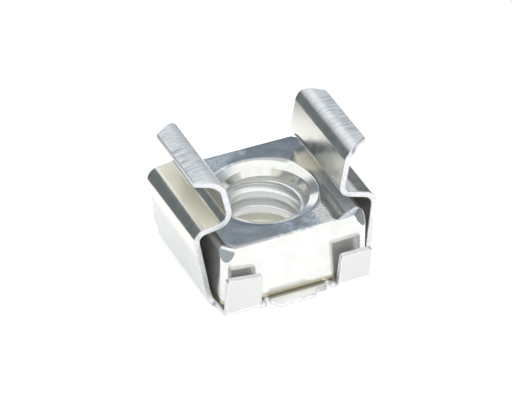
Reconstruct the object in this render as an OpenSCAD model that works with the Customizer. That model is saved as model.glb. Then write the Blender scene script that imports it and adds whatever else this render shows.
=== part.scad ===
// Rack cage nut: a square nut held loosely in a folded spring steel cage.
// The cage stands on its base plate. +X runs across the two ears, +Y towards
// the back and +Z up along the screw. Sizes are in millimetres.

/* [Sheet] */
// Thickness of the cage's spring steel sheet
sheet_t = 0.45; // [0.3:0.05:0.55]
// Inside radius of the folds between base and walls
base_fold_r = 0.15; // [0.1:0.05:0.6]
// Inside radius of the tabs' folds
tab_fold_r = 0.2; // [0.1:0.05:0.3]

/* [Walls and shoulders] */
// Play between the nut and each wall, at the base, left and right
side_play = [0.1, 0.55]; // [0.05:0.05:1]
// Front to back width of the walls and ears
ear_d = 8.3; // [6:0.1:9.5]
// Angle by which each wall leans outwards, left and right
wall_lean = [10, 5.5]; // [4:0.1:12]
// Gap between the nut's top edge and each shoulder, left and right
shoulder_gap = [0.75, 0.35]; // [0.3:0.05:1.2]
// Angle by which each shoulder rises towards the neck, left and right
shoulder_rise = [8, 18.4]; // [4:0.1:20]
// Inside radius of the fold at each shoulder, left and right
shoulder_fold_r = [0.5, 0.65]; // [0.15:0.05:0.8]

/* [Necks and lips] */
// Width across the two necks where they leave the shoulders
neck_w = 8.9; // [8.2:0.02:9.3]
// Angle by which each neck leans outwards, left and right
neck_lean = [12, 10]; // [6:0.5:14]
// Inside radius of the fold between shoulder and neck, left and right
root_fold_r = [0.75, 0.6]; // [0.3:0.05:0.8]
// Inside radius of the fold between neck and lip
lip_fold_r = 0.7; // [0.4:0.05:0.8]
// Height of the lips' free edges, to their top face
lip_h = 9.95; // [9.5:0.05:11]
// Distance of each lip's free edge from the middle, left and right
lip_reach = [6.6, 6.42]; // [6:0.02:7]
// Angle by which each lip drops towards its free edge
lip_drop = 4; // [0:0.5:8]
// Length of each lip's free edge
lip_edge_l = 6.4; // [4:0.1:7.5]

/* [Base and tabs] */
// Play between the nut and the front and back tabs, at the base
end_play = 0.4; // [0.35:0.05:0.8]
// Distance by which the base plate's cut edges stop short of the tabs' faces
plate_step = 0.1; // [0:0.02:0.2]
// Gap between two neighbouring tabs
tab_gap = 5.9; // [5.5:0.1:7]
// Width of the tabs, left and right
tab_w = [2.7, 2.4]; // [1.5:0.05:2.7]
// Height of the tabs at their outer corners, left and right
tab_h = [3.5, 3.1]; // [2:0.05:4]
// Angle by which the tabs' top edges fall towards the middle, left and right
tab_fall = [8, 0]; // [0:1:10]
// Angles by which the tabs lean outwards, left and right
tab_lean = [5.5, 10.4]; // [4:0.1:14]
// Radius of the tabs' top corners
tab_corner_r = 0.2; // [0.1:0.05:0.6]
// Radius by which the walls' edges flare out at their foot into the base plate
plate_corner_r = 1.2; // [0.2:0.05:1.3]
// Width of the relief slots in the base plate's edge
relief_w = 0.35; // [0.2:0.05:0.5]
// Depth of the relief slots
relief_l = 0.5; // [0.3:0.05:0.6]
// Distance from a relief slot to its tab
relief_to_tab = 0.45; // [0.3:0.05:0.8]
// Length of the stub where the blank was cut from its strip
stub_l = 0.5; // [0.2:0.05:0.8]
// Width of that stub at its root
stub_root_w = 3.5; // [2.5:0.1:4]
// Width of that stub at its tip
stub_tip_w = 2.7; // [1.5:0.1:3]
// Sideways offset of that stub
stub_x = -0.3; // [-0.4:0.05:0.4]
// Diameter of the base plate's hole for the screw
plate_hole_d = 7.2; // [6.6:0.1:8]

/* [Nut] */
// Width of the square nut across its flats
nut_w = 11.1; // [10:0.05:11.5]
// Thickness of the nut
nut_h = 4.85; // [4:0.05:4.9]
// Radius of the nut's upright corners
nut_corner_r = 0.72; // [0.3:0.02:1.2]
// Radius of the nut's top edges
nut_edge_r = 0.4; // [0.1:0.05:0.6]
// Radius of the nut's bottom edges
nut_foot_r = 0.2; // [0.1:0.05:0.4]
// Radius of the circle at which the nut's corners start to slope away
nut_bevel_r = 7.1; // [6:0.05:7.2]
// Angle of that slope
nut_bevel = 65; // [30:1:70]
// Minor diameter of the thread, which is the bore
bore_d = 5.1; // [4.2:0.1:5.5]
// Diameter of the countersink in the top face
sink_d = 7.8; // [6.8:0.1:8.4]
// Diameter of the countersink in the bottom face
under_sink_d = 6.6; // [6:0.1:7]
// Angle by which both countersinks slope inwards
sink_slope = 22; // [15:1:30]
// Diameter of the plain entry below the top countersink
entry_d = 6.45; // [6:0.05:6.6]
// Height of that entry's straight wall
entry_h = 0.05; // [0.05:0.05:0.4]
// Angle by which the thread runs out into the entry
run_out = 60; // [45:1:64]
// Distance by which the loose nut lies in front of the cage's middle
nut_forward = 0.3; // [0:0.05:0.3]

/* [Hidden] */

$fn = 72;
eps = 0.01;
fold_step = 360 / $fn;

LEFT = 0;
RIGHT = 1;

cage_colour = "gainsboro";
nut_colour = "slategray";

nut_floor = sheet_t;
nut_top = nut_floor + nut_h;
flare_depth = (sink_d - entry_d) / 2 * tan(sink_slope);
under_sink_depth = (under_sink_d - bore_d) / 2 * tan(sink_slope);
entry_depth = flare_depth + entry_h;
thread_depth = entry_depth + (entry_d - bore_d) / 2 * tan(run_out);

// Corners of one ear's outer face, from base to lip, as if its folds were sharp.
function wall_x(side) = nut_w / 2 + side_play[side] + sheet_t;
root_x = neck_w / 2;
function shoulder_h(side) =
    (nut_top + shoulder_gap[side] + sheet_t / cos(shoulder_rise[side])
        - (wall_x(side) - nut_w / 2) * tan(shoulder_rise[side]))
    / (1 + tan(wall_lean[side]) * tan(shoulder_rise[side]));
function shoulder_x(side) =
    wall_x(side) + shoulder_h(side) * tan(wall_lean[side]);
function root_z(side) =
    shoulder_h(side) + (shoulder_x(side) - root_x) * tan(shoulder_rise[side]);
lip_under_z = lip_h - sheet_t;
function lip_x(side) =
    (root_x + (lip_under_z + lip_reach[side] * tan(lip_drop) - root_z(side))
        * tan(neck_lean[side]))
    / (1 + tan(lip_drop) * tan(neck_lean[side]));
function lip_root_z(side) = lip_under_z + (lip_reach[side] - lip_x(side)) * tan(lip_drop);
function ear_corners(side) = [
    [wall_x(side), 0],
    [shoulder_x(side), shoulder_h(side)],
    [root_x, root_z(side)],
    [lip_x(side), lip_root_z(side)],
    [lip_reach[side], lip_under_z]
];
function ear_folds(side) = [base_fold_r, shoulder_fold_r[side], root_fold_r[side], lip_fold_r];

function reversed(list) = [for (i = [len(list) - 1:-1:0]) list[i]];
function mirrored(points) = [for (p = points) [-p.x, p.y]];
function unit(v) = v / norm(v);
function left_of(v) = [-v.y, v.x];
function turn(a, b) = atan2(a.x * b.y - a.y * b.x, a * b);

// One fold of a sheet whose right hand face has its sharp corner at b. The
// result is the arc of the face that lies the distance off to its left.
function fold_arc(a, b, c, inside_r, off) =
    let (
        u = unit(b - a),
        angle = turn(u, unit(c - b)),
        side = sign(angle),
        face_r = side > 0 ? inside_r + sheet_t : inside_r,
        r = face_r - side * off,
        middle = b - u * face_r * tan(abs(angle) / 2) + side * face_r * left_of(u),
        steps = ceil(abs(angle) / fold_step),
        start = -side * left_of(u)
    )
    [for (i = [0:steps])
        let (t = angle * i / steps)
        middle + r * [start.x * cos(t) - start.y * sin(t), start.x * sin(t) + start.y * cos(t)]];

// One face of a folded sheet, from end to end, the distance off to the left of its path.
function sheet_face(path, folds, off) =
    let (
        last = len(path) - 1,
        first_dir = unit(path[1] - path[0]),
        last_dir = unit(path[last] - path[last - 1])
    )
    concat(
        [path[0] + off * left_of(first_dir)],
        [for (i = [1:last - 1])
            each fold_arc(path[i - 1], path[i], path[i + 1], folds[i - 1], off)],
        [path[last] + off * left_of(last_dir)]
    );

// Section of a folded sheet. The path runs along its right hand face.
module folded_sheet(path, folds) {
    polygon(concat(sheet_face(path, folds, 0), reversed(sheet_face(path, folds, sheet_t))));
}

module along_y(depth) {
    rotate([90, 0, 0])
        linear_extrude(depth, center = true)
            children();
}

module along_x(length) {
    rotate([90, 0, 90])
        linear_extrude(length)
            children();
}

// Walls, shoulders, necks and lips, with the base between them, as one strip.
module strip_section() {
    path = concat(mirrored(reversed(ear_corners(LEFT))), ear_corners(RIGHT));
    folds = concat(reversed(ear_folds(LEFT)), ear_folds(RIGHT));
    folded_sheet(path, folds);
}

module ear_strip() {
    difference() {
        along_y(ear_d)
            strip_section();
        lip_corner_cuts(LEFT);
        lip_corner_cuts(RIGHT);
    }
}

// The lips narrow from their fold to their free edge.
module lip_corner_cuts(side) {
    out = 1;
    end_x = lip_reach[side] + out;
    slope = (ear_d - lip_edge_l) / 2 / (lip_reach[side] - lip_x(side));
    on_side(side)
        for (y = [0, 1])
            mirror([0, y, 0])
                translate([0, 0, (root_z(side) + lip_root_z(side)) / 2])
                    linear_extrude(lip_h)
                        polygon([
                            [lip_x(side), ear_d / 2],
                            [end_x, ear_d / 2 - slope * (end_x - lip_x(side))],
                            [end_x, ear_d / 2 + out],
                            [lip_x(side), ear_d / 2 + out]
                        ]);
}

module on_side(side) {
    mirror([side == LEFT ? 1 : 0, 0, 0])
        children();
}

// Base plate. Where it runs on into the walls it follows their folds.
tab_x = tab_gap / 2;
tab_face_y = nut_w / 2 + end_play + sheet_t;
function tab_fold_y(side) =
    tab_face_y - (tab_fold_r + sheet_t) * tan((90 - tab_lean[side]) / 2);
plate_y = tab_face_y - plate_step;
wall_fold_top = (base_fold_r + sheet_t) * (1 - sin(min(wall_lean)));
function tab_end_x(side) = tab_x + tab_w[side];

module plate() {
    intersection() {
        along_y(2 * (plate_y + stub_l))
            strip_section();
        linear_extrude(wall_fold_top)
            plate_outline();
    }
}

// Foot of a wall's edges, where their flare runs up from the base plate.
module wall_foot(side) {
    reach = tab_end_x(side) + plate_corner_r;
    foot_x = wall_x(side) + wall_fold_top * tan(wall_lean[side]);
    rise = max(0, reach - foot_x);
    half = ear_d / 2 + plate_corner_r - sqrt(plate_corner_r ^ 2 - rise ^ 2);
    if (rise > 0)
        intersection() {
            along_y(2 * half)
                strip_section();
            on_side(side)
                translate([nut_w / 2, 0, 0])
                    along_x(nut_w)
                        difference() {
                            translate([-half, wall_fold_top - eps])
                                square([2 * half, rise + eps]);
                            for (y = [-1, 1])
                                translate([y * (ear_d / 2 + plate_corner_r), wall_fold_top + rise])
                                    circle(plate_corner_r);
                        }
        }
}

module plate_outline() {
    difference() {
        union() {
            square([tab_gap, 2 * plate_y], center = true);
            for (y = [0, 1])
                mirror([0, y]) {
                    stub_outline();
                    for (side = [LEFT, RIGHT])
                        mirror([side == LEFT ? 1 : 0, 0])
                            plate_quarter(side);
                }
        }
        for (x = [0, 1])
            for (y = [0, 1])
                mirror([x, 0])
                    mirror([0, y])
                        relief_outline();
    }
}

module plate_quarter(side) {
    reach = tab_end_x(side) + plate_corner_r;
    square([tab_end_x(side), tab_fold_y(side)]);
    difference() {
        square([reach, ear_d / 2 + plate_corner_r]);
        translate([reach, ear_d / 2 + plate_corner_r])
            circle(plate_corner_r);
    }
}

module stub_outline() {
    tip_y = plate_y + stub_l;
    polygon([
        [stub_x - stub_root_w / 2, 0],
        [stub_x - stub_root_w / 2, plate_y],
        [stub_x - stub_tip_w / 2, tip_y],
        [stub_x + stub_tip_w / 2, tip_y],
        [stub_x + stub_root_w / 2, plate_y],
        [stub_x + stub_root_w / 2, 0]
    ]);
}

module relief_outline() {
    x = tab_x - relief_to_tab - relief_w;
    end_y = plate_y - relief_l + relief_w / 2;
    translate([x, end_y])
        square([relief_w, relief_l + relief_w]);
    translate([x + relief_w / 2, end_y])
        circle(d = relief_w);
}

// One corner tab, folded up from the base plate.
module tab(side) {
    top_y = tab_face_y + tab_h[side] * tan(tab_lean[side]);
    path = [[tab_fold_y(side) - sheet_t, 0], [tab_face_y, 0], [top_y, tab_h[side]]];
    translate([tab_x, 0, 0])
        intersection() {
            along_x(tab_w[side])
                folded_sheet(path, [tab_fold_r]);
            translate([0, 2 * tab_face_y, 0])
                rotate([90, 0, 0])
                    linear_extrude(2 * tab_face_y)
                        tab_outline(side);
        }
}

// Seen from the front, with rounded top corners and a top edge that may slope.
module tab_outline(side) {
    w = tab_w[side];
    inner_h = tab_h[side] - w * tan(tab_fall[side]);
    r = tab_corner_r;
    half_in = (90 + tab_fall[side]) / 2;
    half_out = (90 - tab_fall[side]) / 2;
    inner = [r, inner_h - r * tan(half_out)];
    outer = [w - r, tab_h[side] - r * tan(half_in)];
    peak_in = inner + r * [-sin(tab_fall[side]), cos(tab_fall[side])];
    peak_out = outer + r * [-sin(tab_fall[side]), cos(tab_fall[side])];
    polygon([[0, 0], [0, inner.y], inner, peak_in, peak_out, outer, [w, outer.y], [w, 0]]);
    for (middle = [inner, outer])
        translate(middle)
            circle(r);
}

module cage() {
    color(cage_colour)
        difference() {
            union() {
                ear_strip();
                plate();
                for (side = [LEFT, RIGHT]) {
                    wall_foot(side);
                    on_side(side)
                        for (y = [0, 1])
                            mirror([0, y, 0])
                                tab(side);
                }
            }
            translate([0, 0, -eps])
                cylinder(d = plate_hole_d, h = sheet_t + 2 * eps);
        }
}

// Square nut: pressed block, sloped corners, threaded bore between two countersinks.
module rounded_square(w, r) {
    square([w - 2 * r, w], center = true);
    square([w, w - 2 * r], center = true);
    for (x = [-1, 1])
        for (y = [-1, 1])
            translate([x * (w / 2 - r), y * (w / 2 - r)])
                circle(r);
}

// Front view of the nut, with its top and bottom edges rounded.
module nut_section() {
    top_z = nut_h - nut_edge_r;
    translate([-nut_w / 2, nut_foot_r])
        square([nut_w, top_z - nut_foot_r]);
    translate([nut_edge_r - nut_w / 2, top_z])
        square([nut_w - 2 * nut_edge_r, nut_edge_r]);
    translate([nut_foot_r - nut_w / 2, 0])
        square([nut_w - 2 * nut_foot_r, nut_foot_r]);
    for (x = [-1, 1]) {
        translate([x * (nut_w / 2 - nut_edge_r), top_z])
            circle(nut_edge_r);
        translate([x * (nut_w / 2 - nut_foot_r), nut_foot_r])
            circle(nut_foot_r);
    }
}

module corner_bevel() {
    out_r = nut_w;
    drop = (out_r - nut_bevel_r) * tan(nut_bevel);
    top_r = nut_bevel_r - nut_edge_r * tan(nut_bevel / 2);
    turned = [sin(nut_bevel), cos(nut_bevel) - 1];
    rotate_extrude()
        polygon([
            [0, -drop],
            [0, nut_h + eps],
            [top_r, nut_h + eps],
            [top_r, nut_h] + nut_edge_r * turned,
            [out_r, nut_h - drop],
            [out_r, -drop]
        ]);
}

// The nut's hole: countersink, plain entry and the thread's bore, and a second countersink.
module hole() {
    past = eps / tan(sink_slope);
    rotate_extrude()
        polygon([
            [0, -eps],
            [under_sink_d / 2 + past, -eps],
            [bore_d / 2, under_sink_depth],
            [bore_d / 2, nut_h - thread_depth],
            [entry_d / 2, nut_h - entry_depth],
            [entry_d / 2, nut_h - flare_depth],
            [sink_d / 2 + past, nut_h + eps],
            [0, nut_h + eps]
        ]);
}

module square_nut() {
    color(nut_colour)
        translate([0, -nut_forward, nut_floor])
            difference() {
                intersection() {
                    linear_extrude(nut_h)
                        rounded_square(nut_w, nut_corner_r);
                    along_y(nut_w)
                        nut_section();
                    rotate(90)
                        along_y(nut_w)
                            nut_section();
                    corner_bevel();
                }
                hole();
            }
}

cage();
square_nut();
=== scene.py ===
import math

import bpy
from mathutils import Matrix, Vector
from mathutils.geometry import delaunay_2d_cdt


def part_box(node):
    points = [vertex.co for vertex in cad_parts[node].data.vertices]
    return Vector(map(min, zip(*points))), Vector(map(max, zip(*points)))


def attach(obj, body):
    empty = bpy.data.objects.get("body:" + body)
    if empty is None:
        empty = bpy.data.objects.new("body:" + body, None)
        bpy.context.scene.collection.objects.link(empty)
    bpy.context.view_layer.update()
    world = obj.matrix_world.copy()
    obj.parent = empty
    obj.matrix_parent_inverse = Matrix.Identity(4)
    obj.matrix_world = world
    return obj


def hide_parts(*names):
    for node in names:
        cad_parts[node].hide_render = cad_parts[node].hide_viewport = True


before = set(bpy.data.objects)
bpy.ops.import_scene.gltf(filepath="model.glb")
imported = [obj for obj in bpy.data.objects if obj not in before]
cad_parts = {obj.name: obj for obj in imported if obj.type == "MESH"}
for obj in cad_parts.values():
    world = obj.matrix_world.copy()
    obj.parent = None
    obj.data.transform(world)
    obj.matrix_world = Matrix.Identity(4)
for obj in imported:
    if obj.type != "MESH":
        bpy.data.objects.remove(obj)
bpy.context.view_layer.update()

# Rack cage nut: a square nut held loosely in a folded spring steel cage.
# Lengths below are in millimetres and turned to metres as meshes are made.
# Where a size has two values, they are the left side's and the right side's.
MM = 0.001
LEFT, RIGHT = 0, 1

nut_low, nut_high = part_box("square_nut")

# ---------------------------------------------------------------- the nut's sizes
NUT_W = (nut_high.x - nut_low.x) / MM
NUT_Y = (nut_high.y + nut_low.y) / 2 / MM
NUT_FLOOR = nut_low.z / MM
NUT_TOP = nut_high.z / MM
NUT_H = NUT_TOP - NUT_FLOOR
NUT_CORNER_R = 0.72
NUT_EDGE_R = 0.4
NUT_FOOT_R = 0.2
NUT_BEVEL_R = 7.1
NUT_BEVEL = math.radians(65)
SINK_R = 3.9
SINK_SLOPE = math.radians(22)
UNDER_SINK_R = 3.3
# Depths and radii of the step by which the countersink leads into the thread.
ENTRY = ((0.27, 3.23), (0.79, 2.93), (1.18, 2.91), (1.3, 2.55))
THREAD_MINOR_R = 2.57
THREAD_MAJOR_R = 3.12
THREAD_PITCH = 1.35
THREAD_START = 0.78
THREAD_FADE_IN = (0.8, 1.3)
THREAD_TURN = math.radians(65)
CREST_SHARE = 0.34
ROOT_SHARE = 0.2
FLANK_SOFTNESS = 0.35

# ---------------------------------------------------------------- the cage's sizes
SHEET_T = NUT_FLOOR
BASE_FOLD_R = 0.15
TAB_FOLD_R = 0.2
SIDE_PLAY = (0.1, 0.55)
EAR_D = 8.3
WALL_LEAN = (math.radians(10), math.radians(5.5))
SHOULDER_GAP = (0.75, 0.35)
SHOULDER_RISE = (math.radians(8), math.radians(18.4))
SHOULDER_FOLD_R = (0.5, 0.65)
NECK_W = 8.9
NECK_LEAN = (math.radians(12), math.radians(10))
ROOT_FOLD_R = (0.75, 0.6)
LIP_FOLD_R = 0.7
LIP_H = 9.95
LIP_REACH = (6.6, 6.42)
LIP_DROP = math.radians(4)
LIP_EDGE_L = 6.4
END_PLAY = 0.4
PLATE_STEP = 0.1
TAB_X = 2.95
TAB_W = (2.7, 2.4)
TAB_H = (3.5, 3.1)
TAB_FALL = (math.radians(8), 0.0)
TAB_LEAN = (math.radians(5.5), math.radians(10.4))
TAB_CORNER_R = 0.2
PLATE_CORNER_R = 1.2
RELIEF_W = 0.35
RELIEF_L = 0.5
RELIEF_TO_TAB = 0.45
STUB_L = 0.5
STUB_ROOT_W = 3.5
STUB_TIP_W = 2.7
STUB_X = -0.3
PLATE_HOLE_R = 3.6
SHEAR_GAP = 0.06
CUT_EDGE_R = 0.07

WALL_X = [NUT_W / 2 + play + SHEET_T for play in SIDE_PLAY]
TAB_FACE_Y = NUT_W / 2 + END_PLAY + SHEET_T
PLATE_Y = TAB_FACE_Y - PLATE_STEP

# ---------------------------------------------------------------- how finely the meshes are divided
# Steps are in millimetres along straight stretches and in radians round folds.
FOLD_STEP = 0.1
STRAIGHT_STEP = 0.4
TAB_FOLD_STEP = 0.12
TAB_STRAIGHT_STEP = 0.3
TAB_END_CLEAR = 0.5
PLATE_GRID_STEP = 0.45
PLATE_GRID_END = 4.8
EAR_ROWS_START = 4.9
RIM_MARGIN = 0.06
PLATE_HOLE_STEPS = 72
EAR_STEPS = 20
TAB_STEPS = 8
THREAD_RINGS = 190
BEVEL_ROWS_D = 1.15
BEVEL_ROW_STEP = 0.04
SMALLEST_CUT = math.radians(0.8)
CORNER_SPAN = math.radians(4.6)
FLAT_STEPS, CUT_STEPS, CORNER_STEPS = 14, 6, 6


# ---------------------------------------------------------------- colours and nodes
def srgb(code):
    """Linear red, green, blue and alpha of a colour written as sRGB hex."""
    def linear(c):
        return c / 12.92 if c <= 0.04045 else ((c + 0.055) / 1.055) ** 2.4
    return tuple(linear(int(code[i:i + 2], 16) / 255) for i in (1, 3, 5)) + (1.0,)


def add(tree, kind, settings=None, **inputs):
    """Adds a node with its settings; each input is a value or another node's output."""
    n = tree.nodes.new(kind)
    for key, value in (settings or {}).items():
        setattr(n, key, value)
    for key, value in inputs.items():
        spot = n.inputs[int(key[1:])] if key[0] == "_" else n.inputs[key.replace("_", " ")]
        if isinstance(value, bpy.types.NodeSocket):
            tree.links.new(value, spot)
        else:
            spot.default_value = value
    return n


def new_material(name):
    m = bpy.data.materials.new(name)
    m.use_nodes = True
    m.node_tree.nodes.clear()
    return m, m.node_tree


# ---------------------------------------------------------------- the folded sheet
def ear_corners(side):
    """Sharp corners of an ear's outer face, from the base to the lip's free edge."""
    wall_x, lean = WALL_X[side], WALL_LEAN[side]
    rise, neck = SHOULDER_RISE[side], NECK_LEAN[side]
    shoulder_h = (
        NUT_TOP + SHOULDER_GAP[side] + SHEET_T / math.cos(rise)
        - (wall_x - NUT_W / 2) * math.tan(rise)
    ) / (1 + math.tan(lean) * math.tan(rise))
    shoulder_x = wall_x + shoulder_h * math.tan(lean)
    root_x = NECK_W / 2
    root_z = shoulder_h + (shoulder_x - root_x) * math.tan(rise)
    under_z = LIP_H - SHEET_T
    reach = LIP_REACH[side]
    lip_x = (
        root_x + (under_z + reach * math.tan(LIP_DROP) - root_z) * math.tan(neck)
    ) / (1 + math.tan(LIP_DROP) * math.tan(neck))
    lip_z = under_z + (reach - lip_x) * math.tan(LIP_DROP)
    return [Vector(p) for p in (
        (0, 0), (wall_x, 0), (shoulder_x, shoulder_h), (root_x, root_z),
        (lip_x, lip_z), (reach, under_z))]


def stretches(corners, inside_radii):
    """Straight runs and folds of the sheet's middle face: (length, curvature) pairs."""
    runs = [b - a for a, b in zip(corners, corners[1:])]
    turns = [math.atan2(a.cross(b), a.dot(b)) for a, b in zip(runs, runs[1:])]
    setbacks = [
        (r + (SHEET_T if turn > 0 else 0)) * math.tan(abs(turn) / 2)
        for r, turn in zip(inside_radii, turns)
    ]
    out = []
    for i, run in enumerate(runs):
        length = run.length - sum(setbacks[max(i - 1, 0):i + 1])
        out.append((length, 0.0))
        if i < len(turns):
            r = inside_radii[i] + SHEET_T / 2
            out.append((abs(turns[i]) * r, math.copysign(1 / r, turns[i])))
    return out


class FoldedPath:
    """Turns a length along the flat blank into a place and a heading on the folded one."""

    def __init__(self, parts):
        self.parts = []
        start, place, heading = 0.0, Vector((0.0, SHEET_T / 2)), 0.0
        for length, bend in parts:
            self.parts.append((start, length, bend, place.copy(), heading))
            place, heading = self.along(place, heading, bend, length)
            start += length
        self.length = start

    @staticmethod
    def along(place, heading, bend, s):
        if not bend:
            return place + s * Vector((math.cos(heading), math.sin(heading))), heading
        turned = heading + bend * s
        step = Vector((math.sin(turned) - math.sin(heading),
                       math.cos(heading) - math.cos(turned)))
        return place + step / bend, turned

    def at(self, s):
        for start, length, bend, place, heading in self.parts:
            if s <= start + length:
                break
        return self.along(place, heading, bend, s - start)

    def rows(self, first, fold_step, straight_step):
        """Lengths at which the blank is divided, closer together in the folds."""
        out = []
        for start, length, bend, _, _ in self.parts:
            step = abs(fold_step / bend) if bend else straight_step
            n = max(1, math.ceil(length / step))
            out += [start + length * i / n for i in range(n)]
        out.append(self.length)
        return [s for s in out if s > first]


ear_paths = [
    FoldedPath(stretches(
        ear_corners(side),
        [BASE_FOLD_R, SHOULDER_FOLD_R[side], ROOT_FOLD_R[side], LIP_FOLD_R]))
    for side in (LEFT, RIGHT)
]


def tab_path(side):
    """The fold of a side's tabs, from the plate's middle up to the tab's top."""
    top = Vector((TAB_FACE_Y + TAB_H[side] * math.tan(TAB_LEAN[side]), TAB_H[side]))
    return FoldedPath(stretches([Vector((0, 0)), Vector((TAB_FACE_Y, 0)), top], [TAB_FOLD_R]))


tab_paths = [tab_path(side) for side in (LEFT, RIGHT)]
TAB_FOLD_V = min(p.parts[1][0] for p in tab_paths)


def tab_rows(side):
    """Lengths across the strip at which a tab is divided, from its fold to its top."""
    return tab_paths[side].rows(TAB_FOLD_V - 0.01, TAB_FOLD_STEP, TAB_STRAIGHT_STEP)


def half_width(side, u):
    """Half the ear's width at a length u along the blank: the lips narrow to their edge."""
    lip_x = ear_corners(side)[4].x
    x = ear_paths[side].at(u)[0].x
    slope = (EAR_D - LIP_EDGE_L) / 2 / (LIP_REACH[side] - lip_x)
    in_lip = u > ear_paths[side].parts[6][0]
    return EAR_D / 2 - (slope * max(0.0, x - lip_x) if in_lip else 0.0)


def arc(cx, cy, r, start, end, n):
    """Points along an arc, angles in degrees."""
    return [
        (cx + r * math.cos(math.radians(start + (end - start) * i / n)),
         cy + r * math.sin(math.radians(start + (end - start) * i / n)))
        for i in range(n + 1)
    ]


def between(a, b, step):
    """Points after a and before b on a straight line."""
    n = max(1, math.ceil(math.dist(a, b) / step))
    return [(a[0] + (b[0] - a[0]) * i / n, a[1] + (b[1] - a[1]) * i / n) for i in range(1, n)]


def quarter_outline(side):
    """Blank's edge for u, v > 0, from the lip's corner to the stub's root."""
    path, end_x = ear_paths[side], TAB_X + TAB_W[side]
    corner_u = end_x + PLATE_CORNER_R
    rows = path.rows(corner_u + 0.1, FOLD_STEP, STRAIGHT_STEP)
    pts = [(u, half_width(side, u)) for u in reversed(rows)]
    pts += arc(corner_u, EAR_D / 2 + PLATE_CORNER_R, PLATE_CORNER_R, 270, 180, 8)
    tab_v = tab_paths[side].length
    fall, r = TAB_FALL[side], TAB_CORNER_R
    pts += between(pts[-1], (end_x, TAB_FOLD_V), TAB_STRAIGHT_STEP)
    pts += [(end_x, v) for v in tab_rows(side) if v < tab_v - TAB_END_CLEAR]
    inner_v = tab_v - TAB_W[side] * math.tan(fall)
    deg = math.degrees(fall)
    top = arc(end_x - r, tab_v - r * math.tan((math.pi / 2 + fall) / 2), r, 0, 90 + deg, 6)
    turn = arc(TAB_X + r, inner_v - r * math.tan((math.pi / 2 - fall) / 2), r, 90 + deg, 180, 6)
    pts += top + between(top[-1], turn[0], TAB_STRAIGHT_STEP) + turn
    slit_v = TAB_FOLD_V - SHEAR_GAP
    pts += [(TAB_X, v) for v in reversed(tab_rows(side)) if v < inner_v - TAB_END_CLEAR]
    pts += arc(TAB_X - SHEAR_GAP / 2, slit_v, SHEAR_GAP / 2, 0, -180, 4)
    notch = TAB_X - RELIEF_TO_TAB
    pts += [(TAB_X - SHEAR_GAP, PLATE_Y), (notch, PLATE_Y)]
    pts += arc(notch - RELIEF_W / 2, PLATE_Y - RELIEF_L + RELIEF_W / 2, RELIEF_W / 2, 0, -180, 8)
    pts += [(notch - RELIEF_W, PLATE_Y)]
    return pts


def blank_outline():
    """The whole blank's edge, anticlockwise, with u along the strip and v across it."""
    right, left = quarter_outline(RIGHT), quarter_outline(LEFT)
    stub = [(STUB_X + STUB_ROOT_W / 2, PLATE_Y), (STUB_X + STUB_TIP_W / 2, PLATE_Y + STUB_L),
            (STUB_X - STUB_TIP_W / 2, PLATE_Y + STUB_L), (STUB_X - STUB_ROOT_W / 2, PLATE_Y)]
    back = right + stub + [(-u, v) for u, v in reversed(left)]
    left_edge = between(back[-1], (back[-1][0], -back[-1][1]), STRAIGHT_STEP)
    front = [(u, -v) for u, v in reversed(back)]
    right_edge = between(front[-1], back[0], STRAIGHT_STEP)
    return back + left_edge + front + right_edge


def edge_normals(loop):
    """Outward direction at each point of an anticlockwise loop, long enough for a miter."""
    out = []
    for i, p in enumerate(loop):
        a, b = loop[i - 1], loop[(i + 1) % len(loop)]
        n1 = Vector((p[1] - a[1], a[0] - p[0])).normalized()
        n2 = Vector((b[1] - p[1], p[0] - b[0])).normalized()
        n = (n1 + n2).normalized()
        out.append(n / max(0.5, n.dot(n1)))
    return out


def inside(loop, x, y):
    """Whether a point lies within a loop: a line from it crosses the loop an odd number of times."""
    hit = False
    for i, (x2, y2) in enumerate(loop):
        x1, y1 = loop[i - 1]
        if (y1 > y) != (y2 > y) and x < x1 + (y - y1) * (x2 - x1) / (y2 - y1):
            hit = not hit
    return hit


def fold(u, v, w, normal):
    """Place and surface direction on the folded cage of a point of the flat blank."""
    side, mirror = (RIGHT, 1) if u >= 0 else (LEFT, -1)
    back = 1 if v >= 0 else -1
    on_tab = abs(v) > TAB_FOLD_V and abs(u) > TAB_X - SHEAR_GAP / 2
    p, h = Vector((abs(u), SHEET_T / 2)), 0
    if on_tab:
        p, h = tab_paths[side].at(abs(v))
    elif abs(v) < EAR_D / 2 + PLATE_CORNER_R:
        p, h = ear_paths[side].at(abs(u))
    c, s = math.cos(h), math.sin(h)
    out, z = p.x - (w - SHEET_T / 2) * s, p.y + (w - SHEET_T / 2) * c
    if on_tab:
        nv, nw = normal.y * back, normal.z
        return Vector((u, back * out, z)), Vector((normal.x, back * (nv * c - nw * s), nv * s + nw * c))
    nu, nw = normal.x * mirror, normal.z
    return Vector((mirror * out, v, z)), Vector((mirror * (nu * c - nw * s), normal.y, nu * s + nw * c))


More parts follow.
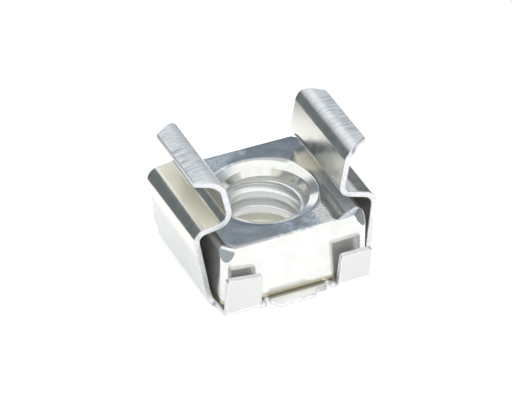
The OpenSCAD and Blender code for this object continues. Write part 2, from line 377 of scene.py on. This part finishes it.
def grid_points(loop):
    """Points over the blank's flat face, in rows across its folds, clear of the loop round it."""
    out = []
    for side, mirror in ((LEFT, -1), (RIGHT, 1)):
        start = TAB_X + TAB_W[side] + PLATE_CORNER_R + 0.1
        for u in ear_paths[side].rows(EAR_ROWS_START, FOLD_STEP, STRAIGHT_STEP):
            half = half_width(side, u) if u > start else EAR_D / 2
            if u < ear_paths[side].length - RIM_MARGIN:
                shares = [2 * i / EAR_STEPS - 1 for i in range(1, EAR_STEPS)]
                out += [(mirror * u, (half - CUT_EDGE_R) * share) for share in shares]
        for v in tab_rows(side):
            for i in range(1, TAB_STEPS):
                u = TAB_X + TAB_W[side] * i / TAB_STEPS
                out += [(mirror * u, v), (mirror * u, -v)]
    steps = [PLATE_GRID_STEP * i for i in range(-15, 16)]
    out += [(x, y) for x in steps if abs(x) < PLATE_GRID_END for y in steps]
    clear = []
    for p in out:
        if inside(loop, *p) and math.hypot(*p) > PLATE_HOLE_R + CUT_EDGE_R + RIM_MARGIN:
            if min((p[0] - q[0]) ** 2 + (p[1] - q[1]) ** 2 for q in loop) > RIM_MARGIN ** 2:
                clear.append(p)
    return clear


RIM_ANGLES = [math.radians(a) for a in (90, 60, 30, 0)]
RIM_LEVELS = (
    [(a, SHEET_T - CUT_EDGE_R) for a in RIM_ANGLES]
    + [(-a, CUT_EDGE_R) for a in reversed(RIM_ANGLES)]
)
SHEET_FACE, CUT_FACE = 0, 1


class Sheet:
    """The folded sheet's points, surface directions and faces, given by their places on the flat blank."""

    def __init__(self):
        self.verts, self.normals, self.faces, self.kinds = [], [], [], []

    def point(self, u, v, w, normal):
        spot, way = fold(u, v, w, normal)
        self.verts.append(spot)
        self.normals.append(way)
        return len(self.verts) - 1

    def rim(self, loop):
        """The sheared edge along a loop. Gives its first point and the loop that the flat faces fill."""
        first, n, directions = len(self.verts), len(loop), edge_normals(loop)
        for a, level in RIM_LEVELS:
            off = CUT_EDGE_R * (math.cos(a) - 1)
            for (u, v), d in zip(loop, directions):
                way = Vector((d.x * math.cos(a), d.y * math.cos(a), math.sin(a))).normalized()
                self.point(u + off * d.x, v + off * d.y, level + CUT_EDGE_R * math.sin(a), way)
        for k in range(len(RIM_LEVELS) - 1):
            a, b = first + k * n, first + (k + 1) * n
            for i in range(n):
                j = (i + 1) % n
                self.faces.append((a + i, b + i, b + j, a + j))
                self.kinds.append(CUT_FACE)
        inset = [(u - CUT_EDGE_R * d.x, v - CUT_EDGE_R * d.y) for (u, v), d in zip(loop, directions)]
        return first, inset

    def flats(self, edge, hole):
        """The sheet's two flat faces, each joined to the rims of its edge and of its hole."""
        (edge_first, edge_loop), (hole_first, hole_loop) = edge, hole
        n0, n1 = len(edge_loop), len(hole_loop)
        edges = [(i, (i + 1) % n0) for i in range(n0)]
        edges += [(n0 + i, n0 + (i + 1) % n1) for i in range(n1)]
        flat = edge_loop + hole_loop + grid_points(edge_loop)
        points, _, triangles, origin, _, _ = delaunay_2d_cdt([Vector(p) for p in flat], edges, [], 1, 1e-5)
        triangles = [t for t in triangles
                     if (sum((points[i] for i in t), Vector((0, 0))) / 3).length >= PLATE_HOLE_R]
        for ring, z, up in ((0, SHEET_T, 1), (len(RIM_LEVELS) - 1, 0.0, -1)):
            ids = []
            for p, source in zip(points, origin):
                k = source[0] if source else n0 + n1
                if k < n0:
                    ids.append(edge_first + ring * n0 + k)
                elif k < n0 + n1:
                    ids.append(hole_first + ring * n1 + k - n0)
                else:
                    ids.append(self.point(p.x, p.y, z, Vector((0, 0, up))))
            for t in triangles:
                self.faces.append(tuple(ids[i] for i in t)[::up])
                self.kinds.append(SHEET_FACE)


def make_cage():
    """The cage as one sheet: a flat blank with rounded cut edges, folded point by point."""
    sheet = Sheet()
    edge = sheet.rim(blank_outline())
    turns = [-2 * math.pi * i / PLATE_HOLE_STEPS for i in range(PLATE_HOLE_STEPS)]
    hole = sheet.rim([(PLATE_HOLE_R * math.cos(a), PLATE_HOLE_R * math.sin(a)) for a in turns])
    sheet.flats(edge, hole)
    return build("cage_sheet", sheet.verts, sheet.faces, sheet.kinds, sheet.normals)


def build(name, verts, faces, kinds, normals=None):
    """A smooth piece from its points in millimetres; kinds says which material each face wears."""
    mesh = bpy.data.meshes.new(name)
    mesh.from_pydata([v * MM for v in verts], [], faces)
    mesh.update()
    mesh.polygons.foreach_set("use_smooth", [True] * len(mesh.polygons))
    mesh.polygons.foreach_set("material_index", kinds)
    if normals:
        mesh.normals_split_custom_set_from_vertices([n.normalized() for n in normals])
    piece = bpy.data.objects.new(name, mesh)
    bpy.context.scene.collection.objects.link(piece)
    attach(piece, "root")
    return piece


# ---------------------------------------------------------------- the square nut
def square_radius(angle, half, r):
    """Distance from the middle to a rounded square's edge, in a direction within 45 degrees of X."""
    c, s = math.cos(angle), abs(math.sin(angle))
    if half * s / c <= half - r:
        return half / c
    m = half - r
    b = m * (c + s)
    return b + math.sqrt(max(0.0, b * b - (2 * m * m - r * r)))


def side_profile():
    """Heights and insets of the nut's outer face, from the top's edge down to the bottom's."""
    rows = []
    n = 10
    for i in range(n + 1):
        a = math.pi / 2 * (1 - i / n)
        rows.append((NUT_TOP - NUT_EDGE_R * (1 - math.sin(a)), NUT_EDGE_R * (1 - math.cos(a))))
    z = NUT_TOP - NUT_EDGE_R
    while z > NUT_TOP - BEVEL_ROWS_D:
        z -= BEVEL_ROW_STEP
        rows.append((z, 0.0))
    low = NUT_FLOOR + NUT_FOOT_R
    rows += [(z + (low - z) * i / 8, 0.0) for i in range(1, 9)]
    for i in range(1, 7):
        a = math.pi / 2 * i / 6
        rows.append((low - NUT_FOOT_R * math.sin(a), NUT_FOOT_R * (1 - math.cos(a))))
    return rows


def bevel_radius(z):
    """Radius of the turned bevel that cuts the nut's corners, with its rounded top edge."""
    top_r = NUT_BEVEL_R - NUT_EDGE_R * math.tan(NUT_BEVEL / 2)
    depth = NUT_TOP - z
    if depth < NUT_EDGE_R * (1 - math.cos(NUT_BEVEL)):
        return top_r + math.sqrt(max(0.0, NUT_EDGE_R ** 2 - (NUT_EDGE_R - depth) ** 2))
    return NUT_BEVEL_R + depth / math.tan(NUT_BEVEL)


def cut_angle(z, inset):
    """Half the angle, at a corner, over which the turned bevel cuts the rounded square."""
    reach = bevel_radius(z)
    half, r = NUT_W / 2 - inset, max(0.02, NUT_CORNER_R - inset)
    lo, hi = 0.0, math.radians(20)
    if square_radius(math.pi / 4, half, r) <= reach:
        return 0.0
    for _ in range(30):
        mid = (lo + hi) / 2
        if square_radius(math.pi / 4 - mid, half, r) > reach:
            lo = mid
        else:
            hi = mid
    return lo


def column_angles(cut):
    """Angles of one eighth of the nut, from a side's middle to a corner."""
    cut = max(cut, SMALLEST_CUT)
    shoulder = max(CORNER_SPAN, cut + math.radians(0.5))
    quarter = math.pi / 4
    out = [(quarter - shoulder) * i / FLAT_STEPS for i in range(FLAT_STEPS)]
    out += [quarter - shoulder + (shoulder - cut) * i / CORNER_STEPS for i in range(CORNER_STEPS)]
    out += [quarter - cut + cut * i / CUT_STEPS for i in range(CUT_STEPS)]
    return out


def round_angles(cut):
    """(angle, angle from the nearest side's middle) for a whole turn."""
    eighth = column_angles(cut)
    quarter = eighth + [math.pi / 4] + [math.pi / 2 - a for a in reversed(eighth[1:])]
    out = []
    for side in range(4):
        for a in quarter:
            near = a if a <= math.pi / 4 else a - math.pi / 2
            out.append((side * math.pi / 2 + a, near))
    return out


def thread_radius(depth, angle):
    """Radius of the threaded hole's wall: a 60 degree thread with flattened crests and roots."""
    turn = ((depth - THREAD_START) / THREAD_PITCH + (angle - THREAD_TURN) / (2 * math.pi)) % 1.0
    from_root = abs(turn - 0.5) * 2
    cut = min(1.0, max(0.0, (from_root - ROOT_SHARE) / (1 - CREST_SHARE - ROOT_SHARE)))
    soft = cut * cut * (3 - 2 * cut) * FLANK_SOFTNESS + cut * (1 - FLANK_SOFTNESS)
    begun = min(1.0, max(0.0, (depth - THREAD_FADE_IN[0]) / (THREAD_FADE_IN[1] - THREAD_FADE_IN[0])))
    return THREAD_MINOR_R + (THREAD_MAJOR_R - THREAD_MINOR_R) * (1 - soft) * begun


def hole_radius(z, angle):
    """Radius of the hole: the widest of its thread, its two countersinks and the stepped entry."""
    depth = NUT_TOP - z
    mouth = SINK_R - depth / math.tan(SINK_SLOPE)
    under = UNDER_SINK_R - (z - NUT_FLOOR) / math.tan(SINK_SLOPE)
    entry = 0.0
    for (d1, r1), (d2, r2) in zip(ENTRY, ENTRY[1:]):
        if d1 <= depth < d2:
            entry = r1 + (r2 - r1) * (depth - d1) / (d2 - d1)
    return max(thread_radius(depth, angle), mouth, entry, under)


def make_nut():
    """The nut as one skin of rings: top, rounded and bevelled sides, bottom and threaded hole."""
    rings = []
    profile = side_profile()
    top_cut = cut_angle(*profile[0])

    def outer(z, inset):
        out = []
        for angle, near in round_angles(cut_angle(z, inset)):
            r = min(square_radius(near, NUT_W / 2 - inset, max(0.02, NUT_CORNER_R - inset)),
                    bevel_radius(z))
            out.append(Vector((r * math.cos(angle), r * math.sin(angle), z)))
        return out

    def hole(z, flat=None):
        out = []
        for angle, _ in round_angles(top_cut):
            r = flat or hole_radius(z, angle)
            out.append(Vector((r * math.cos(angle), r * math.sin(angle), z)))
        return out

    def spread(a, b, n):
        return [[p.lerp(q, i / n) for p, q in zip(a, b)] for i in range(1, n)]

    top, bottom = outer(*profile[0]), outer(*profile[-1])
    mouth, foot = hole(NUT_TOP, SINK_R), hole(NUT_FLOOR, UNDER_SINK_R)
    rings += [mouth] + spread(mouth, top, 8)
    rings += [outer(z, inset) for z, inset in profile]
    rings += spread(bottom, foot, 6) + [foot]
    rings += [hole(NUT_FLOOR + NUT_H * i / THREAD_RINGS) for i in range(1, THREAD_RINGS)]
    count = len(rings[0])
    verts = [p + Vector((0, NUT_Y, 0)) for ring in rings for p in ring]
    faces = []
    for k in range(len(rings)):
        a, b = k * count, (k + 1) % len(rings) * count
        for i in range(count):
            j = (i + 1) % count
            faces.append((a + i, b + i, b + j, a + j))
    return build("nut_body", verts, faces, [0] * len(faces))


# ---------------------------------------------------------------- materials
SMOOTH = {"interpolation_type": "SMOOTHSTEP"}
COLOURS = {"data_type": "RGBA"}
TIMES = {"operation": "MULTIPLY"}
TIMES_AND_ADD = {"operation": "MULTIPLY_ADD"}
ABSOLUTE = {"operation": "ABSOLUTE"}
DOT = {"operation": "DOT_PRODUCT"}
SEEDED = {"noise_dimensions": "4D"}
RIPPLE_MM = 2.2


def zone(t, *limits):
    """How far a place lies in a zone, from 0 to 1.

    Each limit is another zone, or a measure with the millimetres where its fade starts and where it ends.
    """
    amount = 1.0
    for limit in limits:
        if isinstance(limit, tuple):
            fade = add(t, "ShaderNodeMapRange", SMOOTH, Value=limit[0],
                       From_Min=limit[1] * MM, From_Max=limit[2] * MM)
            limit = fade.outputs["Result"]
        amount = add(t, "ShaderNodeMath", TIMES, _0=amount, _1=limit).outputs[0]
    return amount


def layered(t, base, layers):
    """Lays sRGB shades or plain values over a base, each in its own zone."""
    for amount, layer in layers:
        if isinstance(layer, str):
            base = add(t, "ShaderNodeMix", COLOURS, _0=amount, _6=base, _7=srgb(layer)).outputs[2]
        else:
            base = add(t, "ShaderNodeMix", _0=amount, _2=base, _3=layer).outputs[0]
    return base


def zinc(name, dark, light, rough, cloud_mm, relief_mm, metal, marks_and_painted_light):
    """Bright zinc plating: two shades in soft clouds, a faint ripple, and its own marks and painted light on
    top.

    Plating baths leave clouds of slightly different brightness, and the steel under it is never quite flat,
    so what it mirrors is bent and blurred a little. Each noise's W is its seed.
    """
    m, t = new_material(name)
    place = add(t, "ShaderNodeTexCoord").outputs["Object"]
    cloud = add(t, "ShaderNodeTexNoise", Vector=place, Scale=1 / (cloud_mm * MM), Detail=4.0).outputs["Fac"]
    shade = add(t, "ShaderNodeMapRange", SMOOTH, Value=cloud,
                From_Min=0.35, From_Max=0.65).outputs["Result"]
    look = {
        "Base_Color": add(t, "ShaderNodeMix", COLOURS, _0=shade, _6=srgb(dark), _7=srgb(light)).outputs[2],
        "Roughness": add(t, "ShaderNodeMix", _0=shade, _2=rough[0], _3=rough[1]).outputs[0],
        "Metallic": metal,
    }
    if marks_and_painted_light:
        marks_and_painted_light(t, place, look)
    ripple = add(t, "ShaderNodeTexNoise", SEEDED, Vector=place, Scale=1 / (RIPPLE_MM * MM),
                 Detail=2.0, W=3.0).outputs["Fac"]
    bump = add(t, "ShaderNodeBump", Height=ripple, Strength=1.0, Distance=relief_mm * MM)
    skin = add(t, "ShaderNodeBsdfPrincipled", Normal=bump.outputs["Normal"], **look)
    add(t, "ShaderNodeOutputMaterial", Surface=skin.outputs[0])
    return m


def die_marks_and_painted_light(t, place, look):
    """Where the folding dies press, the plating turns dull and pale and stops mirroring the room.

    The lips go white, with short grey streaks dragged across their flat part. The left shoulder's top is
    painted straw-coloured and dull as a painted reflection, the root of the right ear white as a painted
    highlight, and the plate's rims beside the nut white as a painted highlight, with brown painted shade in
    the gap against the nut. The streaks are 0.2 mm wide, coarser than the finest real ones, so that they
    show.
    """
    x, y, z = add(t, "ShaderNodeSeparateXYZ", Vector=place).outputs
    side = add(t, "ShaderNodeMath", ABSOLUTE, _0=x).outputs[0]
    end = add(t, "ShaderNodeMath", ABSOLUTE, _0=y).outputs[0]
    lower, upper = zone(t, (z, 5.0, 3.6)), zone(t, (z, 3.6, 5.0))
    lip, outer = zone(t, (z, 9.64, 9.84)), zone(t, (side, 5.0, 5.9))
    lip_flat = zone(t, lip, outer)

    drawn = add(t, "ShaderNodeVectorMath", TIMES, _0=place, _1=(0.14, 1, 0.14)).outputs[0]
    streaks = add(t, "ShaderNodeTexNoise", SEEDED, Vector=drawn, Scale=1 / (0.2 * MM), Detail=3.0, W=7.0)
    streaks = add(t, "ShaderNodeMapRange", SMOOTH, Value=streaks.outputs["Fac"], From_Min=0.36, From_Max=0.7)
    across = add(t, "ShaderNodeMapRange", Value=outer, To_Min=0.35)
    along = add(t, "ShaderNodeMapRange", SMOOTH, Value=end, From_Min=1.2 * MM, From_Max=3.6 * MM,
                To_Min=0.72, To_Max=0.25)
    streaked = zone(t, lip, *(part.outputs["Result"] for part in (across, streaks, along)))

    # Painted reflection: the left shoulder's top is made straw-coloured and dull for the beige it mirrors.
    left_shoulder_painted_reflection = zone(t, (x, -6.5, -6.1), (x, -4.9, -5.3), (z, 7.4, 7.0), upper)
    # Painted highlight: the right ear's root is made white and dull.
    right_root_highlight = zone(t, (x, 4.5, 4.65), (x, 5.7, 5.3), (z, 7.4, 7.0), upper)
    # Painted shade: the plate is made brown and dull in the gap beside the nut.
    gap_shade = zone(t, (end, 5.2, 5.3), (z, 0.6, 0.5))
    # Painted highlight: the plate's rims beyond that gap are made white.
    plate_rim_highlight = zone(t, gap_shade, (end, 5.95, 6.2))
    look["Base_Color"] = layered(t, look["Base_Color"], (
        (lower, "#D6D7D5"), (left_shoulder_painted_reflection, "#F8F4E0"), (right_root_highlight, "#F6F7F8"), (gap_shade, "#A5A292"),
        (plate_rim_highlight, "#FBFBFA"), (lip, "#F6F7F8"), (lip_flat, "#E4E8E9"), (streaked, "#848E92")))
    look["Roughness"] = layered(t, look["Roughness"], ((lip, 0.42),))
    look["Metallic"] = layered(t, look["Metallic"], (
        (lower, 0.72), (left_shoulder_painted_reflection, 0.1), (right_root_highlight, 0.1), (gap_shade, 0.15), (lip, 0.5)))


def nut_stains_and_painted_light(t, place, look):
    """The nut's top is stained in two greys and finely speckled, and near the right ear painted
    straw-coloured and dull as a painted reflection.

    Its thread is duller and, low down, straw-coloured as painted shade for the beige seen deep in the hole,
    and a brown line of painted shade runs round its foot where it sits on the plate. The specks are
    0.16 mm across, coarser than the real ones, so that they show.
    """
    x, y, z = add(t, "ShaderNodeSeparateXYZ", Vector=place).outputs
    top = zone(t, (z, NUT_TOP - 0.06, NUT_TOP - 0.02))
    sides = zone(t, (z, NUT_TOP - 0.02, NUT_TOP - 0.06))

    def away_from(*spot):
        """Distance from a spot on the nut's top."""
        gap = add(t, "ShaderNodeVectorMath", {"operation": "DISTANCE"}, _0=place,
                  _1=tuple(c * MM for c in (*spot, NUT_TOP)))
        return gap.outputs["Value"]

    clouds = add(t, "ShaderNodeTexNoise", SEEDED, Vector=place, Scale=1 / (3.0 * MM),
                 Detail=5.0, Roughness=0.62, W=11.0).outputs["Fac"]
    away = add(t, "ShaderNodeMath", {"operation": "MINIMUM"},
               _0=away_from(-3.6, -4.2), _1=away_from(3.4, 5.2)).outputs[0]
    near = add(t, "ShaderNodeMath", TIMES_AND_ADD, _0=away, _1=-0.06 / MM, _2=clouds).outputs[0]
    stain = add(t, "ShaderNodeMapRange", SMOOTH, Value=near, From_Min=0.26, From_Max=0.4)
    specks = add(t, "ShaderNodeTexNoise", SEEDED, Vector=place, Scale=1 / (0.16 * MM), Detail=2.0, W=5.0)
    specks = add(t, "ShaderNodeMapRange", SMOOTH, Value=specks.outputs["Fac"],
                 From_Min=0.4, From_Max=0.62, To_Max=0.5)
    stained, speckled = (zone(t, top, part.outputs["Result"]) for part in (stain, specks))
    # Painted reflection: near the right ear the nut's top is made straw-coloured and dull for the beige it
    # mirrors.
    straw_reflection = zone(t, (away_from(4.7, 1.7), 1.7, 0.9), top)

    from_axis = add(t, "ShaderNodeMath", _0=y, _1=-NUT_Y * MM).outputs[0]
    across = add(t, "ShaderNodeCombineXYZ", X=x, Y=from_axis).outputs[0]
    radius = add(t, "ShaderNodeVectorMath", {"operation": "LENGTH"}, _0=across).outputs["Value"]
    thread = zone(t, (radius, 3.3, 3.2), (z, 4.5, 4.2))
    # Painted shade: the thread is made straw-coloured low down for the beige shade seen deep in the hole.
    low_thread_shade, foot = zone(t, thread, (z, 1.5, 0.9)), zone(t, (z, 1.1, 0.8))
    # Painted shade: the brown line round the nut's foot, where it sits on the plate.
    look["Base_Color"] = layered(t, look["Base_Color"], (
        (thread, "#E6E8E8"), (foot, "#BDB8A2"), (low_thread_shade, "#EAE8DA"), (top, "#E8ECED"),
        (stained, "#A8ABAC"), (speckled, "#B2B7BB"), (straw_reflection, "#FBF6E2")))
    look["Roughness"] = layered(t, look["Roughness"], ((thread, 0.26),))
    look["Metallic"] = layered(t, look["Metallic"], ((sides, 0.76), (straw_reflection, 0.2)))


# Zinc on rolled spring steel strip: the strip is smooth, so the plating mirrors the room with soft edges.
cage_skin = zinc("zinc_on_rolled_spring_steel", dark="#E2E0D6", light="#ECEAE2", rough=(0.18, 0.24),
                 cloud_mm=0.9, relief_mm=0.008, metal=0.94, marks_and_painted_light=die_marks_and_painted_light)
# Zinc on a sheared edge: shearing tears the steel, so the plating is pale and grainy and only blurs
# what it mirrors. Its grain, 0.25 mm, is coarser than the real one, so that it shows.
cut_edge = zinc("zinc_on_sheared_edge", dark="#D6D6D8", light="#E8E8EA", rough=(0.3, 0.45),
                cloud_mm=0.25, relief_mm=0.01, metal=0.8, marks_and_painted_light=None)
# Zinc on a pressed nut: the dies leave it smooth but wavy, so it mirrors almost sharply, and bends what
# it mirrors.
nut_skin = zinc("zinc_on_pressed_nut_steel", dark="#DEDFDB", light="#E6E7E3", rough=(0.08, 0.16),
                cloud_mm=1.2, relief_mm=0.03, metal=0.94, marks_and_painted_light=nut_stains_and_painted_light)

cage = make_cage()
for m in (cage_skin, cut_edge):
    cage.data.materials.append(m)
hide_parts("cage")
nut = make_nut()
nut.data.materials.append(nut_skin)
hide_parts("square_nut")


# ---------------------------------------------------------------- floor, light and camera
def make_floor():
    """Matt white board under the part, which keeps its shadow.

    It ends just behind the part and to its right, so that low reflections there show the room. Towards its
    far left corner, what the metal mirrors turns to the dark of a studio's unlit end.
    """
    near, far = 24 * MM, -400 * MM
    mesh = bpy.data.meshes.new("floor")
    mesh.from_pydata([(far, far, 0), (near, far, 0), (near, near, 0), (far, near, 0)], [], [(0, 1, 2, 3)])
    floor = bpy.data.objects.new("floor", mesh)
    bpy.context.scene.collection.objects.link(floor)
    m, t = new_material("matt_white_board")
    path = add(t, "ShaderNodeLightPath").outputs
    place = add(t, "ShaderNodeTexCoord").outputs["Object"]
    behind = add(t, "ShaderNodeVectorMath", DOT, _0=place, _1=(-1, 1, 0)).outputs["Value"]
    unlit = zone(t, (behind, 23, 28), path["Is Glossy Ray"])
    seen = add(t, "ShaderNodeMath", TIMES, _0=path["Is Camera Ray"], _1=0.45).outputs[0]
    glow = add(t, "ShaderNodeMath", TIMES_AND_ADD, _0=path["Is Glossy Ray"], _1=0.53, _2=seen)
    board = add(t, "ShaderNodeBsdfDiffuse", Color=srgb("#F2F2F2")).outputs[0]
    white = add(t, "ShaderNodeEmission", Color=srgb("#FFFFFF"), Strength=glow.outputs[0]).outputs[0]
    lit = add(t, "ShaderNodeAddShader", _0=board, _1=white).outputs[0]
    dark = add(t, "ShaderNodeEmission", Color=srgb("#6A7074"), Strength=1.0).outputs[0]
    shown = add(t, "ShaderNodeMixShader", _0=unlit, _1=lit, _2=dark).outputs[0]
    add(t, "ShaderNodeOutputMaterial", Surface=shown)
    mesh.materials.append(m)


def direction(azimuth, elevation):
    """A direction seen from the part: azimuth 0 is +Y and 90 is +X."""
    a, e = math.radians(azimuth), math.radians(elevation)
    return (math.sin(a) * math.cos(e), math.cos(a) * math.cos(e), math.sin(e))


def make_world():
    """Soft studio: a blue-grey room with lit patches and dark ones, white to the camera.

    A patch is whole within the first angle of its direction, in degrees, and gone past the second.
    """
    w = bpy.data.worlds.new("studio")
    bpy.context.scene.world = w
    w.use_nodes = True
    t = w.node_tree
    t.nodes.clear()
    way = add(t, "ShaderNodeTexCoord").outputs["Generated"]
    patches = (
        ("lit ceiling", direction(180, 70), 35, 55, "#FFFFFF"),
        ("lit ceiling behind", direction(5, 62), 19, 30, "#FFFFFF"),
        ("window in front", direction(185, 30), 45, 60, "#FFFFFF"),
        ("dark corner behind on the left", direction(-36, 16), 30, 36, "#5A6268"),
        ("window behind", direction(3, 18), 5, 10, "#FFFFFF"),
        ("dark wall on the right", direction(72, 8), 30, 42, "#5C6266"),
        ("grey wall on the left", direction(-118, 8), 16, 26, "#7E8A94"),
    )
    colour = srgb("#8A96A2")
    for _, d, full, gone, shade in patches:
        dot = add(t, "ShaderNodeVectorMath", DOT, _0=way, _1=d).outputs["Value"]
        amount = add(t, "ShaderNodeMapRange", SMOOTH, Value=dot, From_Min=math.cos(math.radians(gone)),
                     From_Max=math.cos(math.radians(full))).outputs["Result"]
        colour = add(t, "ShaderNodeMix", COLOURS, _0=amount, _6=colour, _7=srgb(shade)).outputs[2]
    path = add(t, "ShaderNodeLightPath").outputs["Is Camera Ray"]
    shown = add(t, "ShaderNodeMix", COLOURS, _0=path, _6=colour, _7=srgb("#FFFFFF")).outputs[2]
    power = add(t, "ShaderNodeMath", TIMES_AND_ADD, _0=path, _1=-0.35, _2=1.35).outputs[0]
    back = add(t, "ShaderNodeBackground", Color=shown, Strength=power).outputs[0]
    add(t, "ShaderNodeOutputWorld", Surface=back)


def make_camera():
    """Long lens from the front, a little to the left and looking down."""
    azimuth, elevation = math.radians(-24.6), math.radians(37.1)
    distance = 279 * MM
    back = Vector((math.sin(azimuth) * math.cos(elevation),
                   -math.cos(azimuth) * math.cos(elevation), math.sin(elevation)))
    middle = Vector((0, -0.35, 0)) * MM
    aim = Vector((0.316, 1.705, 2.647)) * MM
    data = bpy.data.cameras.new("camera")
    data.lens = 275.6
    data.sensor_width = 36
    data.clip_start = 0.01
    camera = bpy.data.objects.new("camera", data)
    bpy.context.scene.collection.objects.link(camera)
    camera.location = middle + back * distance
    camera.rotation_mode = "QUATERNION"
    camera.rotation_quaternion = (aim - camera.location).to_track_quat("-Z", "Y")
    bpy.context.scene.camera = camera


make_floor()
make_world()
make_camera()
bpy.context.scene.view_settings.view_transform = "Standard"
